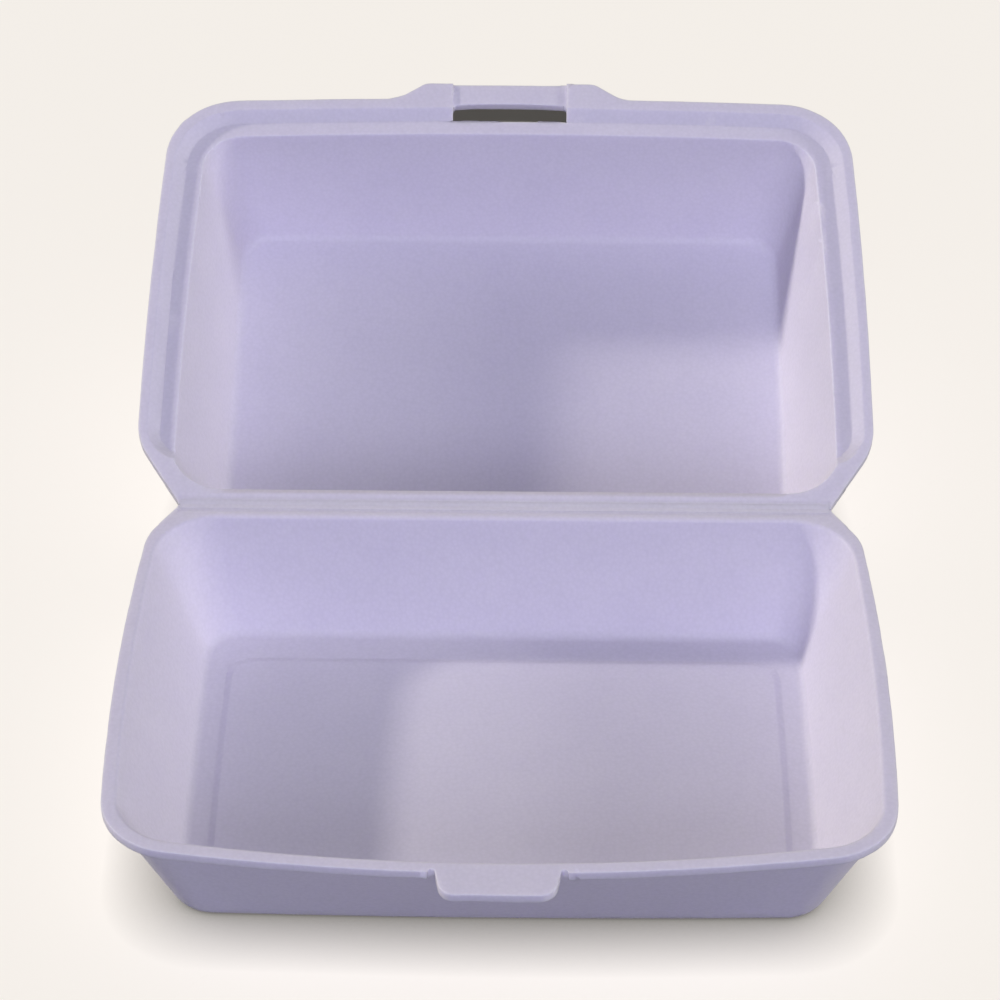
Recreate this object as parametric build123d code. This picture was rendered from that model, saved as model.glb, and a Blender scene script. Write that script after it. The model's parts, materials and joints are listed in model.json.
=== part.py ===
"""Foam clamshell food container, standing open.

One sheet of expanded polystyrene foam, pressed into a deep tray and a deeper lid that meet
at a scored fold. The two halves are separate solids because the lid swings on the fold.
Both are drawn in a frame whose Y axis is zero on the fold line, with the lid shut over the
tray. The lid is then swung open until the bend at its back leans on the table.
Millimetres, +Z up, origin on the table under the middle of the tray floor.
"""

from build123d import *
from collections import namedtuple
from math import acos, atan, atan2, cos, degrees, hypot, radians, sin, sqrt, tan
import os

# Foam sheet, and the play between the halves
sheet = 2.2  # thickness of the formed sheet
rim_sheet = 2.7  # the rims aren't stretched, so they stay thicker
closing_gap = 0.4  # between the two rims when the lid is shut
fold_gap = 0.4  # along the fold line, which only the scored skin bridges
overrun = 6.0  # how far a cutting shape runs past what it cuts

# Fold, its pressed lines and the notches at its two ends
fold_inset = 11.0  # from the tray's end to the end of the fold
hinge_flange = 5.0  # flat strip on each side of the fold
notch_radius = 2.4
notch_angle = 58.0  # degrees, between a notch's side and the fold
score_offset = 2.4
score_width = 1.5
score_depth = 0.35

# Tray
tray_length = 202.0  # over the rim, half way to the front
tray_reach = 141.0  # fold to front edge
tray_height = 35.0
tray_end_bow = 2.5  # how far each end bulges
tray_front_bow = 9.0  # how far the front bulges
tray_flare = 1.0  # how far each end leans out towards the front
tray_flange = 3.6
tray_wall_run = 15.0  # how far the end and front walls lean in
tray_back_run = 12.0  # how far the wall beside the fold leans in
tray_front_corner = 20.0
tray_hinge_corner = 17.0
tray_mouth_back_corner = 17.0
tray_floor_corner = 9.0

# Raised middle of the tray floor, which leaves a foot all round
panel_margin = 6.0
panel_back_margin = 9.5
panel_rise = 1.3
panel_slope = 1.8
panel_corner = 7.0

# Front tab of the tray
tab_root = 31.0
tab_tip = 28.0
tab_reach = 7.6
tab_corner = 4.5
tab_relief = 2.0  # round cuts beside the root, which let the tab bend

# Lid
lid_overhang = 1.2  # past the tray's ends
lid_front_overhang = 1.8  # past the tray's front
lid_height = 41.8  # rim to the outside of the top
lid_end_bow = 1.1
lid_front_bow = 2.2
lid_flare = -1.6  # the lid is widest beside the fold
lid_side_flange = 2.6
lid_front_flange = 3.6
lid_wall_run = 11.8
lid_back_run = 8.5
lid_front_corner = 21.0
lid_hinge_corner = 20.0
lid_mouth_back_corner = 15.0
lid_top_corner = 9.0

# Raised shoulder inside the lid's rim, on its three free sides
shoulder_height = 2.4
shoulder_run = 3.4
shoulder_ledge = 3.8
shoulder_end = 14.0  # from the fold to where it dies out
shoulder_end_corner = 12.0

# Slotted ear at the lid's front
ear_root = 66.0
ear_tip = 50.0
ear_reach = 5.6
ear_root_round = 9.0
ear_tip_round = 5.0
slot_play = 1.3  # beside the tab, at each end of the slot
slot_depth = 4.8
slot_arch = 0.7
slot_corner = 1.3
strap_sink = 0.8  # the strap past the slot is pressed back, as a seat for the tab

# Rounded bends of the sheet
inside_round = 3.0
outside_round = inside_round + sheet
mouth_round = 1.3
bend_steps = 4  # straight facets round each bend

# The floor and the lid's top bulge less than the rims
flat_bow_share = 0.15

fold_length = tray_length - 2 * fold_inset
lid_length = tray_length + 2 * lid_overhang
lid_reach = tray_reach + lid_front_overhang

Bulge = namedtuple("Bulge", "ends front flare")
tray_bulge = Bulge(tray_end_bow, tray_front_bow, tray_flare)
lid_bulge = Bulge(lid_end_bow, lid_front_bow, lid_flare)


def eased(bulge, share):
    """The bulge at a share of the way from the rim to the flat of a half."""
    return Bulge(*(part * (1 + share * (flat_bow_share - 1)) for part in bulge))


def bowed_face(half_length, front, back, front_corner, back_corner, bulge):
    """A flat shape with bulging ends and front, a straight back and rounded corners.

    front and back are distances from the fold, towards the tray's front.
    """
    middle = -(front + back) / 2
    front_x = half_length - bulge.ends + bulge.flare
    back_x = half_length - bulge.ends - bulge.flare
    front_y = -front + bulge.front
    edges = [
        ThreePointArc((-front_x, front_y), (0, -front), (front_x, front_y)),
        ThreePointArc((front_x, front_y), (half_length, middle), (back_x, -back)),
        Line((back_x, -back), (-back_x, -back)),
        ThreePointArc((-back_x, -back), (-half_length, middle), (-front_x, front_y)),
    ]
    face = make_face(edges)
    face = fillet(face.vertices().group_by(Axis.Y)[0], front_corner)
    return fillet(face.vertices().group_by(Axis.Y)[-1], back_corner)


def rim_face(length, reach, front_corner, hinge_corner, bulge):
    """The outline of one half as it is cut from the sheet, notched at the ends of the fold."""
    half_length = length / 2
    half_fold = fold_length / 2
    start = -fold_gap / 2
    front_x = half_length - bulge.ends + bulge.flare
    back_x = half_length - bulge.ends - bulge.flare
    front_y = -reach + bulge.front
    slope = radians(notch_angle)
    half_turn = (radians(90) - slope) / 2
    notch_x = half_fold + notch_radius
    touch_x = notch_x - notch_radius * sin(slope)
    touch_y = start - notch_radius * cos(slope)
    round_x = notch_x - notch_radius * cos(half_turn)
    round_y = start - notch_radius * sin(half_turn)
    side_y = touch_y - (back_x - touch_x) * tan(slope)
    middle = (front_y + side_y) / 2
    front = ThreePointArc((-front_x, front_y), (0, -reach), (front_x, front_y))
    fold = Line((-half_fold, start), (half_fold, start))
    right = [
        ThreePointArc((front_x, front_y), (half_length, middle), (back_x, side_y)),
        Line((back_x, side_y), (touch_x, touch_y)),
        ThreePointArc((touch_x, touch_y), (round_x, round_y), (half_fold, start)),
    ]
    left = [mirror(edge, about=Plane.YZ) for edge in right]
    face = make_face([front, fold] + right + left)
    face = fillet(face.vertices().group_by(Axis.Y)[0], front_corner)
    widest = [v for v in face.vertices() if abs(v.Y - side_y) < notch_radius]
    return fillet(widest, hinge_corner)


def lug_face(root, tip, reach, edge, tip_round):
    """A tapering lug that stands out past an edge at a distance from the fold."""
    base = root + overrun * (root - tip) / reach
    outline = Polyline(
        (-base / 2, -edge + overrun),
        (-tip / 2, -edge - reach),
        (tip / 2, -edge - reach),
        (base / 2, -edge + overrun),
        close=True,
    )
    face = make_face(outline)
    return fillet(face.vertices().group_by(Axis.Y)[0], tip_round)


def prism(face, low, high):
    return extrude(Pos(0, 0, low) * face, amount=high - low, dir=(0, 0, 1))


def tapered(low_face, low, high_face, high):
    """A solid that runs straight from one outline to another above it."""
    return loft([Pos(0, 0, low) * low_face, Pos(0, 0, high) * high_face], ruled=True)


def score_line(y, height, depth):
    """A shallow V along the fold, cut into a flat face at the given height."""
    section = Polyline(
        (0, y - score_width / 2, height),
        (0, y + score_width / 2, height),
        (0, y, height + depth),
        close=True,
    )
    return extrude(make_face(section), amount=fold_length / 2, dir=(1, 0, 0), both=True)


def bend_depth(radius, lean, drop):
    """How far a bend stands off its leaning wall, at a drop from the bend's centre."""
    return radius * hypot(1, lean) - lean * drop - sqrt(radius**2 - drop**2)


def bend_outlines(section, flat, radius, leans, wall=0, away=1, inward=1):
    """Outlines round the bend between a flat and leaning walls, from the flat on.

    section gives the outline at a height. The bend starts on the flat's height and goes
    away from it, up or down, drawn in from the walls, or out.
    """
    turn = radians(90) - atan(leans[0])
    outlines = []
    for step in range(bend_steps + 1):
        drop = radius * cos(turn * step / bend_steps)
        height = flat + away * (radius - drop)
        insets = [inward * bend_depth(radius, lean, drop) for lean in leans]
        outlines.append(Pos(0, 0, height) * section(height, wall, *insets))
    return outlines


# Tray: a bowl with a flat rim, hollowed by the space inside
tray_mouth_half = tray_length / 2 - tray_flange
tray_mouth_front = tray_reach - tray_flange
tray_mouth_corner = tray_front_corner - tray_flange
floor_half = tray_mouth_half - tray_wall_run
floor_front = tray_mouth_front - tray_wall_run
floor_back = hinge_flange + tray_back_run
floor_centre = (floor_front + floor_back) / 2
tray_lean = tray_wall_run / (tray_height - sheet)
tray_back_lean = tray_back_run / (tray_height - sheet)


def tray_section(height, wall=0, inset=0, back_inset=0):
    """The tray's outline at a height, inside, or outside by a wall, and drawn in by a bend."""
    drop = tray_height - height
    share = drop / (tray_height - sheet)
    corner = tray_mouth_corner + share * (tray_floor_corner - tray_mouth_corner)
    back_corner = tray_mouth_back_corner + share * (tray_floor_corner - tray_mouth_back_corner)
    return bowed_face(
        tray_mouth_half - tray_lean * drop + wall - inset,
        tray_mouth_front - tray_lean * drop + wall - inset,
        hinge_flange + tray_back_lean * drop - wall + back_inset,
        corner + wall - inset,
        back_corner + wall - inset,
        eased(tray_bulge, share),
    )


def panel_section(inset):
    """The outline of the raised part of the floor."""
    return bowed_face(
        floor_half - panel_margin - inset,
        floor_front - panel_margin - inset,
        floor_back + panel_back_margin + inset,
        panel_corner,
        panel_corner,
        eased(tray_bulge, 1),
    )


tray_rim = rim_face(tray_length, tray_reach, tray_front_corner, tray_hinge_corner, tray_bulge)
tab = lug_face(tab_root, tab_tip, tab_reach, tray_reach, tab_corner)
tab_cut_x = (tab_root + tab_relief) / 2
tab_cut_y = -tray_reach + tray_front_bow * (2 * tab_cut_x / tray_length)**2
tab_cuts = Pos(tab_cut_x, tab_cut_y) * Circle(tab_relief / 2)
tab_cuts += Pos(-tab_cut_x, tab_cut_y) * Circle(tab_relief / 2)
tray_rim = tray_rim - tab_cuts + tab

tray_leans = tray_lean, tray_back_lean
foot = bend_outlines(tray_section, 0, outside_round, tray_leans, wall=sheet)
rim_outline = Pos(0, 0, tray_height) * tray_section(tray_height, sheet)
tray_bowl = loft(foot + [rim_outline], ruled=True)

floor = bend_outlines(tray_section, sheet, inside_round, tray_leans)
mouth = bend_outlines(tray_section, tray_height, mouth_round, tray_leans, away=-1, inward=-1)
tray_space = loft(floor + mouth[::-1], ruled=True) + prism(mouth[0], 0, overrun)

tray = tray_bowl + prism(tray_rim, tray_height - rim_sheet, tray_height) - tray_space
tray += tapered(panel_section(0), sheet, panel_section(panel_slope), sheet + panel_rise)
tray -= tapered(panel_section(panel_slope), 0, panel_section(2 * panel_slope), panel_rise)
tray -= score_line(-score_offset, tray_height, -score_depth)

# Lid, shut: the same construction the other way up, with a shoulder inside its rim
rim_level = tray_height + closing_gap
ledge_level = rim_level + shoulder_height
top_level = rim_level + lid_height
shoulder_half = lid_length / 2 - lid_side_flange
shoulder_front = lid_reach - lid_front_flange
shoulder_corner = lid_front_corner - lid_side_flange
lid_mouth_half = shoulder_half - shoulder_run - shoulder_ledge
lid_mouth_front = shoulder_front - shoulder_run - shoulder_ledge
lid_mouth_corner = shoulder_corner - shoulder_run - shoulder_ledge
lid_lean = lid_wall_run / (lid_height - sheet)
lid_back_lean = lid_back_run / (lid_height - sheet)


def lid_section(rise, wall=0, inset=0, back_inset=0):
    """The lid's outline above its rim, inside, or outside by a wall, and drawn in by a bend."""
    share = rise / (lid_height - sheet)
    corner = lid_mouth_corner + share * (lid_top_corner - lid_mouth_corner)
    back_corner = lid_mouth_back_corner + share * (lid_top_corner - lid_mouth_back_corner)
    return bowed_face(
        lid_mouth_half - lid_lean * rise + wall - inset,
        lid_mouth_front - lid_lean * rise + wall - inset,
        hinge_flange + lid_back_lean * rise - wall + back_inset,
        corner + wall - inset,
        back_corner + wall - inset,
        eased(lid_bulge, share),
    )


def shoulder_section(inset):
    return bowed_face(
        shoulder_half - inset,
        shoulder_front - inset,
        shoulder_end + inset,
        shoulder_corner - inset,
        shoulder_end_corner - inset,
        lid_bulge,
    )


def shoulder_block(level):
    """The space under the shoulder, standing on the given level."""
    low, high = shoulder_section(0), shoulder_section(shoulder_run)
    return tapered(low, level, high, level + shoulder_height)


lid_rim = rim_face(lid_length, lid_reach, lid_front_corner, lid_hinge_corner, lid_bulge)
lid_rim += lug_face(ear_root, ear_tip, ear_reach, lid_reach, ear_tip_round)
ear_roots = [v for v in lid_rim.vertices() if abs(abs(v.X) - ear_root / 2) < ear_reach / 2]
lid_rim = fillet(ear_roots, ear_root_round)

slot_width = tab_root + 2 * slot_play
slot_inner = shoulder_front - shoulder_run
slot_outer = slot_inner + slot_depth
slot = make_face([
    Polyline(
        (-slot_width / 2, -slot_outer),
        (-slot_width / 2, -slot_inner),
        (slot_width / 2, -slot_inner),
        (slot_width / 2, -slot_outer),
    ),
    ThreePointArc(
        (slot_width / 2, -slot_outer),
        (0, -slot_outer - slot_arch),
        (-slot_width / 2, -slot_outer),
    ),
])
slot = fillet(slot.vertices().group_by(Axis.Y)[0], slot_corner)
strap_length = lid_reach + ear_reach + overrun - slot_inner
strap_area = Pos(0, -slot_inner - strap_length / 2) * Rectangle(slot_width, strap_length)
strap = (lid_rim & strap_area) - slot

lid_leans = lid_lean, lid_back_lean
top = bend_outlines(lid_section, lid_height - sheet, inside_round, lid_leans, away=-1)
lid_space = loft([lid_section(0)] + top[::-1], ruled=True) + prism(lid_section(0), -overrun, 0)
top_edge = bend_outlines(lid_section, lid_height, outside_round, lid_leans, wall=sheet, away=-1)
lid_bowl = loft([lid_section(0, sheet)] + top_edge[::-1], ruled=True)
lid_space = Pos(0, 0, rim_level) * lid_space
lid_bowl = Pos(0, 0, rim_level) * lid_bowl

lid = lid_bowl + prism(lid_rim, rim_level, rim_level + rim_sheet)
lid += shoulder_block(rim_level + rim_sheet)
lid = lid - shoulder_block(rim_level) - lid_space
lid -= prism(strap_area, rim_level - overrun, ledge_level + overrun)
lid += prism(strap, rim_level + strap_sink, rim_level + rim_sheet + strap_sink)
lid -= score_line(-score_offset, rim_level, score_depth)

# Swing the lid open about the fold until the bend at its back touches the table
pivot = tray_height + closing_gap / 2
bend_height = rim_level + lid_height - outside_round - pivot
bend_reach = hinge_flange - sheet + lid_back_lean * (lid_height - outside_round)
bend_reach += outside_round / cos(atan(lid_back_lean))
lean = acos((pivot - outside_round) / hypot(bend_height, bend_reach))
lean -= atan2(bend_reach, bend_height)
opening = 180 - degrees(lean)
lid = Pos(0, 0, pivot) * Rot(-opening, 0, 0) * Pos(0, 0, -pivot) * lid

place = Pos(0, floor_centre, 0)
os.makedirs("parts", exist_ok=True)
export_step(place * tray, "parts/tray.step")
export_step(place * lid, "parts/lid.step")
print("fold line at y", floor_centre, "z", pivot, "lid opens by", opening)
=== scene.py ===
"""Looks of a foam clamshell food container, standing open."""

import json
import math

import bmesh
import bpy
from mathutils import Matrix, Vector, noise
from mathutils.bvhtree import BVHTree


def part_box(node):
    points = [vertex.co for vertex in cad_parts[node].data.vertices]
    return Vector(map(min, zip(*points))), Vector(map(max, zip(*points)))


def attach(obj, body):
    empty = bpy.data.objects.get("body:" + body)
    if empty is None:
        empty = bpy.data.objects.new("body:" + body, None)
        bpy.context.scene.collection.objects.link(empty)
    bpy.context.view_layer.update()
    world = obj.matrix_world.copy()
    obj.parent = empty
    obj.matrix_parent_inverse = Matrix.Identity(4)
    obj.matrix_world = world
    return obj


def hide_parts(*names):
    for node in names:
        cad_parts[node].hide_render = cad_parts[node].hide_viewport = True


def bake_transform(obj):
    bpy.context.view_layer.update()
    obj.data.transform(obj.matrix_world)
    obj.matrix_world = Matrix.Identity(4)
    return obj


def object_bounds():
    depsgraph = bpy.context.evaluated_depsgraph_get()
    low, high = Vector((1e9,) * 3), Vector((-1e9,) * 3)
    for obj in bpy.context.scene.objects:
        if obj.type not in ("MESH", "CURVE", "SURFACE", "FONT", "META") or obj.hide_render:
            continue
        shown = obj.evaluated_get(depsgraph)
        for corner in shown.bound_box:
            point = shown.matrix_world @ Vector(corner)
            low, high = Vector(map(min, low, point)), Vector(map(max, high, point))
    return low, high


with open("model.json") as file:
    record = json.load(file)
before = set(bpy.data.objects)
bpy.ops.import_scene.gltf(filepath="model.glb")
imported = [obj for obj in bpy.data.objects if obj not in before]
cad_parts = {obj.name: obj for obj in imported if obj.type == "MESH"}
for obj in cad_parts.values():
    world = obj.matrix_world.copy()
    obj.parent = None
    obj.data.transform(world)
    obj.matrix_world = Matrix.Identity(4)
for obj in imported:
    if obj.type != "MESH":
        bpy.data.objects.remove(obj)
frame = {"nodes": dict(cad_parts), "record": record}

cad_low, cad_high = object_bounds()
mm = 0.001


# Tray: half of one sheet of expanded polystyrene foam, pressed hot in a mould and then cut out.
# The moulded faces are smooth, the cut rim is slightly uneven, and no edge is quite sharp.
fold = frame["record"]["behaviour"]["joints"][0]
fold_line = Vector(fold["pos_m"])
lid_lean = math.radians(180 - fold["range_deg"][1])


def linear(hex_colour):
    """An sRGB hex colour as linear RGBA."""
    parts = [int(hex_colour[i:i + 2], 16) / 255 for i in (1, 3, 5)]
    return [c / 12.92 if c <= 0.04045 else ((c + 0.055) / 1.055) ** 2.4 for c in parts] + [1.0]


def add_node(tree, kind, links=(), **settings):
    """Adds a shader node. Settings are its properties or input sockets, links its linked inputs."""
    node = tree.nodes.new(kind)
    for name, value in settings.items():
        if hasattr(node, name):
            setattr(node, name, value)
        else:
            node.inputs[name.replace("_", " ")].default_value = value
    for name, socket in links:
        tree.links.new(socket, node.inputs[name])
    return node


# Pressed polystyrene foam: a white skin over closed cells of about 0.2 mm, with a faint lilac
# cast. Light sinks a little way in, so it has no hard shine, only a satin bloom over soft
# mottling. The cells are drawn at 1.1 mm, because real ones are too fine to show.
foam = bpy.data.materials.new("pressed_polystyrene_foam")
foam.use_nodes = True
foam_nodes = foam.node_tree
foam_skin = foam_nodes.nodes["Principled BSDF"]
cell_size = 1.1 * mm
cell_relief = 0.03 * mm
ripple_size = 7 * mm
ripple_relief = 0.04 * mm
sag_size = 55 * mm
sag_relief = 0.25 * mm
mottle_size = 16 * mm
mottle_low, mottle_high = 0.3, 0.7
cell_edge = 0.9
cell_shade = 0.94
roughness_low, roughness_high = 0.48, 0.6
place = add_node(foam_nodes, "ShaderNodeTexCoord").outputs["Object"]
mottle = add_node(foam_nodes, "ShaderNodeTexNoise", [("Vector", place)],
                  Scale=1 / mottle_size, Detail=4.0, Roughness=0.6)
cells = add_node(foam_nodes, "ShaderNodeTexVoronoi", [("Vector", place)], Scale=1 / cell_size)
ripple = add_node(foam_nodes, "ShaderNodeTexNoise", [("Vector", place)],
                  Scale=1 / ripple_size, Detail=2.0)
sag = add_node(foam_nodes, "ShaderNodeTexNoise", [("Vector", place)],
               Scale=1 / sag_size, Detail=1.0)
tint = add_node(foam_nodes, "ShaderNodeValToRGB", [("Fac", mottle.outputs["Fac"])])
stops = tint.color_ramp.elements
stops[0].position, stops[1].position = mottle_low, mottle_high
stops[0].color, stops[1].color = linear("#dad5e3"), linear("#ddd8e5")
speckle = add_node(foam_nodes, "ShaderNodeMapRange", [("Value", cells.outputs["Distance"])],
                   From_Min=0.0, From_Max=cell_edge, To_Min=1.0, To_Max=cell_shade)
colour = add_node(foam_nodes, "ShaderNodeMix", data_type="RGBA", blend_type="MULTIPLY")
colour.inputs[0].default_value = 1.0
foam_nodes.links.new(tint.outputs["Color"], colour.inputs[6])
foam_nodes.links.new(speckle.outputs["Result"], colour.inputs[7])
foam_nodes.links.new(colour.outputs[2], foam_skin.inputs["Base Color"])
satin = add_node(foam_nodes, "ShaderNodeMapRange", [("Value", mottle.outputs["Fac"])],
                 From_Min=mottle_low, From_Max=mottle_high,
                 To_Min=roughness_low, To_Max=roughness_high)
foam_nodes.links.new(satin.outputs["Result"], foam_skin.inputs["Roughness"])
normal = None
for pattern, output, relief in (
    (sag, "Fac", sag_relief), (ripple, "Fac", ripple_relief), (cells, "Distance", cell_relief)
):
    links = [("Height", pattern.outputs[output])] + ([("Normal", normal)] if normal else [])
    normal = add_node(foam_nodes, "ShaderNodeBump", links, Distance=relief).outputs["Normal"]
foam_nodes.links.new(normal, foam_skin.inputs["Normal"])
foam_skin.inputs["IOR"].default_value = 1.5
foam_skin.inputs["Specular IOR Level"].default_value = 0.2
foam_skin.inputs["Subsurface Weight"].default_value = 0.7
foam_skin.inputs["Subsurface Radius"].default_value = (1.0, 0.95, 1.1)
foam_skin.inputs["Subsurface Scale"].default_value = 2.5 * mm

weld = 0.002 * mm
flat_angle = math.radians(0.2)
sharp_angle = math.radians(30)
smooth_angle = math.radians(40)
edge_round = 0.35 * mm
round_segments = 3
rounding_tries = 8
least_agreement = 0.3
tight_reach = 1 * mm
smallest_face = 0.0005 * mm ** 2
patch_size = 6.3 * mm
rim_depth = 3.2 * mm
steep_limit = 0.2
trim_step = 3 * mm
trim_unevenness = 0.15 * mm
trim_wave = 9 * mm
finer_wave = 2.7
fold_margin = 7 * mm


def formed_half(name, rim_up):
    """A finished copy of a CAD half: its cut edge uneven, its edges rounded, its faces smooth.

    rim_up is the direction that the flat of the rim faces.
    """
    shape = bmesh.new()
    shape.from_mesh(frame["nodes"][name].data)
    bmesh.ops.remove_doubles(shape, verts=shape.verts, dist=weld)

    def is_cut(face):
        """Whether a face is where the rim was cut from the sheet."""
        below = (fold_line - face.calc_center_median()).dot(rim_up)
        return abs(face.normal.dot(rim_up)) < steep_limit and below < rim_depth

    def from_fold(point):
        """Distance of a point from the fold line."""
        return (point - fold_line).yz.length

    low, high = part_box(name)
    for axis in range(2):
        across = Vector((axis == 0, axis == 1, 0))
        for i in range(1, math.ceil((high[axis] - low[axis]) / patch_size)):
            cut = bmesh.ops.bisect_plane(
                shape, geom=shape.verts[:] + shape.edges[:] + shape.faces[:], dist=weld,
                plane_co=Vector(low) + across * patch_size * i, plane_no=across)
            for edge in cut["geom_cut"]:
                if isinstance(edge, bmesh.types.BMEdge):
                    edge.seam = True
    bmesh.ops.dissolve_limit(shape, angle_limit=flat_angle, verts=shape.verts, edges=shape.edges,
                             delimit={"SEAM"})
    for edge in [edge for edge in shape.edges if edge.calc_face_angle(0) > sharp_angle]:
        for pieces in range(math.ceil(edge.calc_length() / trim_step), 1, -1):
            bmesh.utils.edge_split(edge, edge.verts[0], 1 / pieces)
    shape.normal_update()
    moves = {}
    for vert in shape.verts:
        cut_faces = [face for face in vert.link_faces if is_cut(face)]
        if cut_faces and from_fold(vert.co) > fold_margin:
            outward = sum((face.normal for face in cut_faces), Vector()).normalized()
            along = (vert.co - rim_up * vert.co.dot(rim_up)) / trim_wave
            swell = noise.noise(along) + noise.noise(along * finer_wave) / 2
            moves[vert] = outward * trim_unevenness * min(swell, 0)
            if (fold_line - vert.co).dot(rim_up) > rim_depth / 2:
                moves[vert] -= rim_up * trim_unevenness * swell
    for vert, move in moves.items():
        vert.co += move

    surface = BVHTree.FromBMesh(shape)

    def is_folded_over(face):
        """Whether a face looks away from all of the unrounded faces near it."""
        near = surface.find_nearest_range(face.calc_center_median(), 2 * edge_round)
        away = all(face.normal.dot(side) < least_agreement for _, side, _, _ in near)
        return face.calc_area() > smallest_face and away

    tight = []
    for _ in range(rounding_tries):
        rounded = shape.copy()
        sharp = [
            edge for edge in rounded.edges
            if edge.calc_face_angle(0) > sharp_angle
            and min(from_fold(vert.co) for vert in edge.verts) > fold_margin
            and all((vert.co - spot).length >= tight_reach for vert in edge.verts for spot in tight)
        ]
        bmesh.ops.bevel(rounded, geom=sharp, offset=edge_round, offset_type="OFFSET",
                        segments=round_segments, profile=0.5, affect="EDGES", clamp_overlap=False)
        rounded.normal_update()
        folded_over = [face for face in rounded.faces if is_folded_over(face)]
        if not folded_over:
            break
        tight += [vert.co.copy() for face in folded_over for vert in face.verts]
    mesh = bpy.data.meshes.new(name + "_foam")
    rounded.to_mesh(mesh)
    mesh.shade_smooth()
    mesh.set_sharp_from_angle(angle=smooth_angle)
    mesh.materials.append(foam)
    half = bpy.data.objects.new(name + "_foam", mesh)
    bpy.context.scene.collection.objects.link(half)
    flats = half.modifiers.new("even_flats", "WEIGHTED_NORMAL")
    flats.keep_sharp = True
    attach(half, name)
    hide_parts(name)
    return half


tray = formed_half("tray", Vector((0, 0, 1)))

# The raised middle of its floor is pressed so lightly that it shows only as a faint line.
panel_corner = 7.1 * mm
corner_low, corner_high = Vector((-69.4, -39.7)) * mm, Vector((69.4, 36.2)) * mm
floor_sheet = 2.2 * mm
inside_sheet = 1.75 * mm
panel_press = 0.35
for vert in tray.data.vertices:
    middle = Vector([min(max(vert.co[i], corner_low[i]), corner_high[i]) for i in range(2)])
    if (vert.co.xy - middle).length < panel_corner:
        level = floor_sheet if vert.co.z > inside_sheet else 0
        vert.co.z = level + (vert.co.z - level) * panel_press


# Lid: the deeper half of the same sheet, with a stepped shoulder inside its rim and a slotted
# ear at its front. It leans back on the table.
lid = formed_half("lid", Matrix.Rotation(lid_lean, 3, "X") @ Vector((0, 0, 1)))


# Fold: the scored skin of foam that joins the halves. It is pressed thin, lies a little below
# the faces beside it, and bends round the fold line from the tray to the lid's lean.
skin_length = 179 * mm
skin_sink = 0.12 * mm
skin_sheet = 0.9 * mm
skin_reach = 1.6 * mm
bend_reach = 0.4 * mm
bend_half_steps = 4
bend = [bend_reach * i / bend_half_steps for i in range(-bend_half_steps, bend_half_steps + 1)]
columns = [-skin_reach] + bend + [skin_reach]
skin_shape = bmesh.new()
rows = []
for across in columns:
    lean = lid_lean if across > 0 else 0.0
    along = Matrix.Rotation(lean, 3, "X") @ Vector((0, across, 0))
    down = Matrix.Rotation(lid_lean * (across / skin_reach + 1) / 2, 3, "X") @ Vector((0, 0, -1))
    upper = fold_line + along + down * skin_sink
    lower = upper + down * skin_sheet
    rows.append([
        skin_shape.verts.new(point + Vector((side * skin_length / 2, 0, 0)))
        for side, point in ((-1, upper), (1, upper), (1, lower), (-1, lower))
    ])
for near, far in zip(rows, rows[1:]):
    for i in range(4):
        j = (i + 1) % 4
        skin_shape.faces.new((near[i], near[j], far[j], far[i]))
skin_shape.faces.new(rows[0])
skin_shape.faces.new(rows[-1])
bmesh.ops.recalc_face_normals(skin_shape, faces=skin_shape.faces)
skin_mesh = bpy.data.meshes.new("fold_skin")
skin_shape.to_mesh(skin_mesh)
skin_shape.free()
skin_mesh.materials.append(foam)
skin = bpy.data.objects.new("fold_skin", skin_mesh)
bpy.context.scene.collection.objects.link(skin)
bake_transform(skin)


# Floor: a plain matt sweep. To the camera it is cream, with the box's shadow behind it and
# painted shade where they meet, the cream darkened by how closely the box hems in each spot, and a
# faint glow keeps the shadow from going black. To the foam it is dark, so that it throws no light
# up at it.
sweep_size = 8.0
bpy.ops.mesh.primitive_plane_add(size=sweep_size, location=(0, 0, cad_low.z))
floor = bpy.context.object
floor.name = "floor"
cream = linear("#f4efe9")
contact_shade_reach = 18 * mm
floor_glow = 0.05
sweep = bpy.data.materials.new("cream_sweep")
sweep.use_nodes = True
sweep_nodes = sweep.node_tree
sweep_nodes.nodes.clear()


def seen_directly(tree):
    """A socket that is 1 for rays that show the background, and 0 for rays that light the foam."""
    rays = add_node(tree, "ShaderNodeLightPath").outputs
    total = rays["Is Camera Ray"]
    for kind in ("Is Glossy Ray", "Is Transmission Ray"):
        adder = add_node(tree, "ShaderNodeMath", operation="MAXIMUM")
        tree.links.new(total, adder.inputs[0])
        tree.links.new(rays[kind], adder.inputs[1])
        total = adder.outputs[0]
    return total


# Painted shade: ambient occlusion darkens the floor's cream where the box stands close to it.
painted_contact_shade = add_node(sweep_nodes, "ShaderNodeAmbientOcclusion", Color=cream, Distance=contact_shade_reach)
shown = add_node(sweep_nodes, "ShaderNodeBsdfDiffuse", [("Color", painted_contact_shade.outputs["Color"])])
hidden = add_node(sweep_nodes, "ShaderNodeBsdfDiffuse", Color=linear("#3a3a3c"))
glow = add_node(sweep_nodes, "ShaderNodeEmission", Color=cream, Strength=floor_glow)
lit = add_node(sweep_nodes, "ShaderNodeAddShader")
sweep_nodes.links.new(shown.outputs["BSDF"], lit.inputs[0])
sweep_nodes.links.new(glow.outputs["Emission"], lit.inputs[1])
paint = add_node(sweep_nodes, "ShaderNodeMixShader", [("Fac", seen_directly(sweep_nodes))])
sweep_nodes.links.new(hidden.outputs["BSDF"], paint.inputs[1])
sweep_nodes.links.new(lit.outputs["Shader"], paint.inputs[2])
add_node(sweep_nodes, "ShaderNodeOutputMaterial", [("Surface", paint.outputs["Shader"])])
floor.data.materials.append(sweep)


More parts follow.
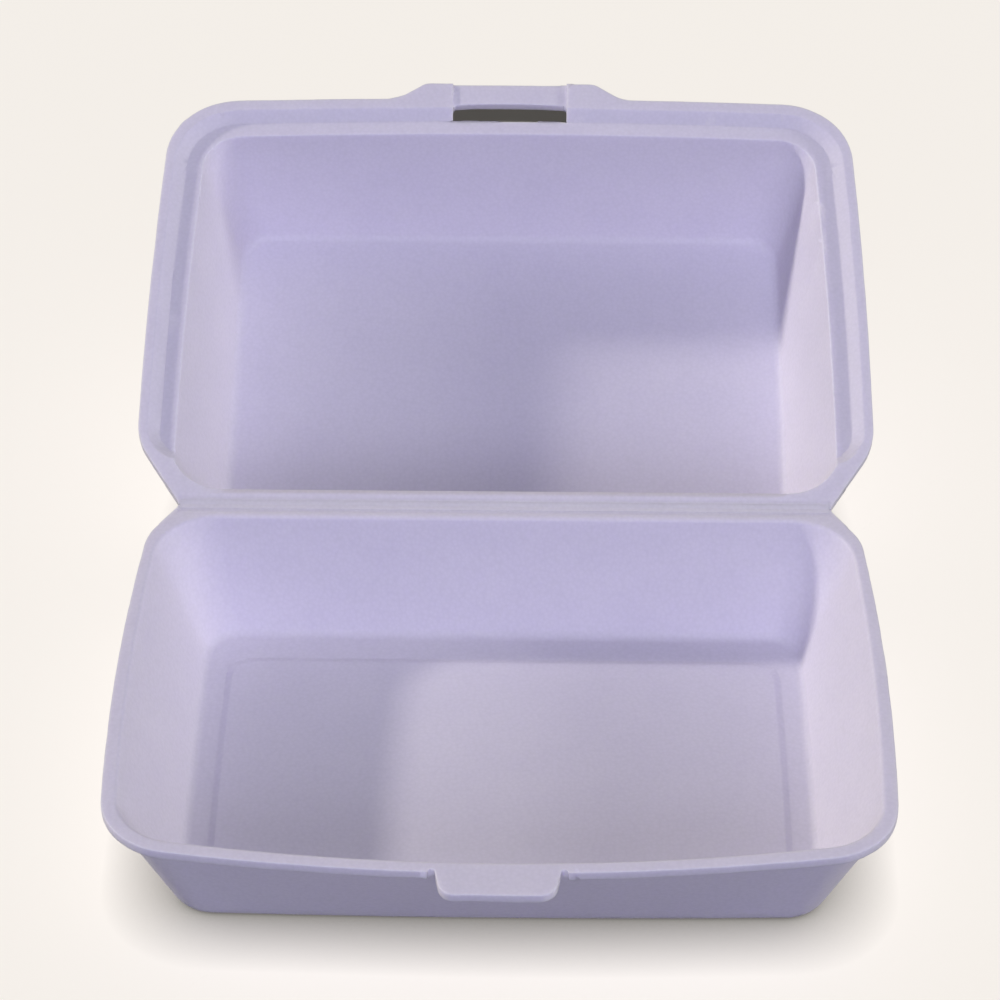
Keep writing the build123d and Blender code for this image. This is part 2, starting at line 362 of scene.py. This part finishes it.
# Light: a cool soft lamp in front and a warmer one at each side for the foam, and one for the
# floor alone. Thin foam lets front light through, so it throws no shadow in the through lamp.
# A level of 1 shows a surface that faces the lamp in its own colour.
foam_pieces = bpy.data.collections.new("foam_pieces")
for piece in (tray, lid, skin):
    foam_pieces.objects.link(piece)
sweep_pieces = bpy.data.collections.new("sweep_pieces")
sweep_pieces.objects.link(floor)
fill_level = 0.04


def lamp(name, lit, azimuth, elevation, level, softness, colour):
    """A soft lamp far away that lights one collection. Azimuth is from the front to the right."""
    light = bpy.data.lights.new(name, "SUN")
    light.energy = level * math.pi
    light.angle = math.radians(softness)
    light.color = linear(colour)[:3]
    holder = bpy.data.objects.new(name, light)
    bpy.context.scene.collection.objects.link(holder)
    turn, height = math.radians(azimuth), math.radians(elevation)
    level_reach = math.cos(height)
    towards = Vector((math.sin(turn) * level_reach, -math.cos(turn) * level_reach,
                      math.sin(height)))
    holder.rotation_euler = towards.to_track_quat("Z", "Y").to_euler()
    holder.light_linking.receiver_collection = lit
    return holder


front_colour = "#e3e4ff"
front_level, front_softness = 0.34, 24
lamp("front_lamp", foam_pieces, azimuth=0, elevation=28,
     level=front_level, softness=front_softness, colour=front_colour)
through_lamp = lamp("through_lamp", foam_pieces, azimuth=0, elevation=46,
                    level=front_level, softness=front_softness, colour=front_colour)
through_lamp.light_linking.blocker_collection = sweep_pieces
lamp("left_lamp", foam_pieces, azimuth=-108, elevation=24,
     level=0.62, softness=4, colour="#fffaf0")
lamp("right_lamp", foam_pieces, azimuth=95, elevation=18.5,
     level=0.42, softness=12, colour="#fffefa")
floor_lamp_height = 36
lamp("floor_lamp", sweep_pieces, azimuth=0, elevation=floor_lamp_height,
     level=(1 - fill_level - floor_glow) / math.sin(math.radians(floor_lamp_height)),
     softness=1.6, colour="#ffffff")
world = bpy.data.worlds.new("studio")
bpy.context.scene.world = world
world.use_nodes = True
studio = world.node_tree
backdrop = studio.nodes["Background"]
backdrop.inputs["Color"].default_value = cream
strength = add_node(studio, "ShaderNodeMapRange", [("Value", seen_directly(studio))],
                    To_Min=fill_level, To_Max=1.0)
studio.links.new(strength.outputs["Result"], backdrop.inputs["Strength"])


# Camera: at the photograph's viewing angle, in front and above.
camera_data = bpy.data.cameras.new("camera")
camera = bpy.data.objects.new("camera", camera_data)
bpy.context.scene.collection.objects.link(camera)
bpy.context.scene.camera = camera
camera_place = Vector((8.341, -716.976, 689.82)) * mm
yaw, pitch, roll = (math.radians(angle) for angle in (-0.697, -39.664, 0.027))
forward = Vector((math.sin(yaw) * math.cos(pitch), math.cos(yaw) * math.cos(pitch),
                  math.sin(pitch)))
right = Vector((math.cos(yaw), -math.sin(yaw), 0))
upward = right.cross(forward)
camera_right = right * math.cos(roll) + upward * math.sin(roll)
camera_up = upward * math.cos(roll) - right * math.sin(roll)
turned = Matrix((camera_right, camera_up, -forward)).transposed()
camera.matrix_world = Matrix.Translation(camera_place) @ turned.to_4x4()
camera_data.sensor_width = 36.0
camera_data.lens = 133.72
bpy.context.scene.view_settings.view_transform = "Standard"
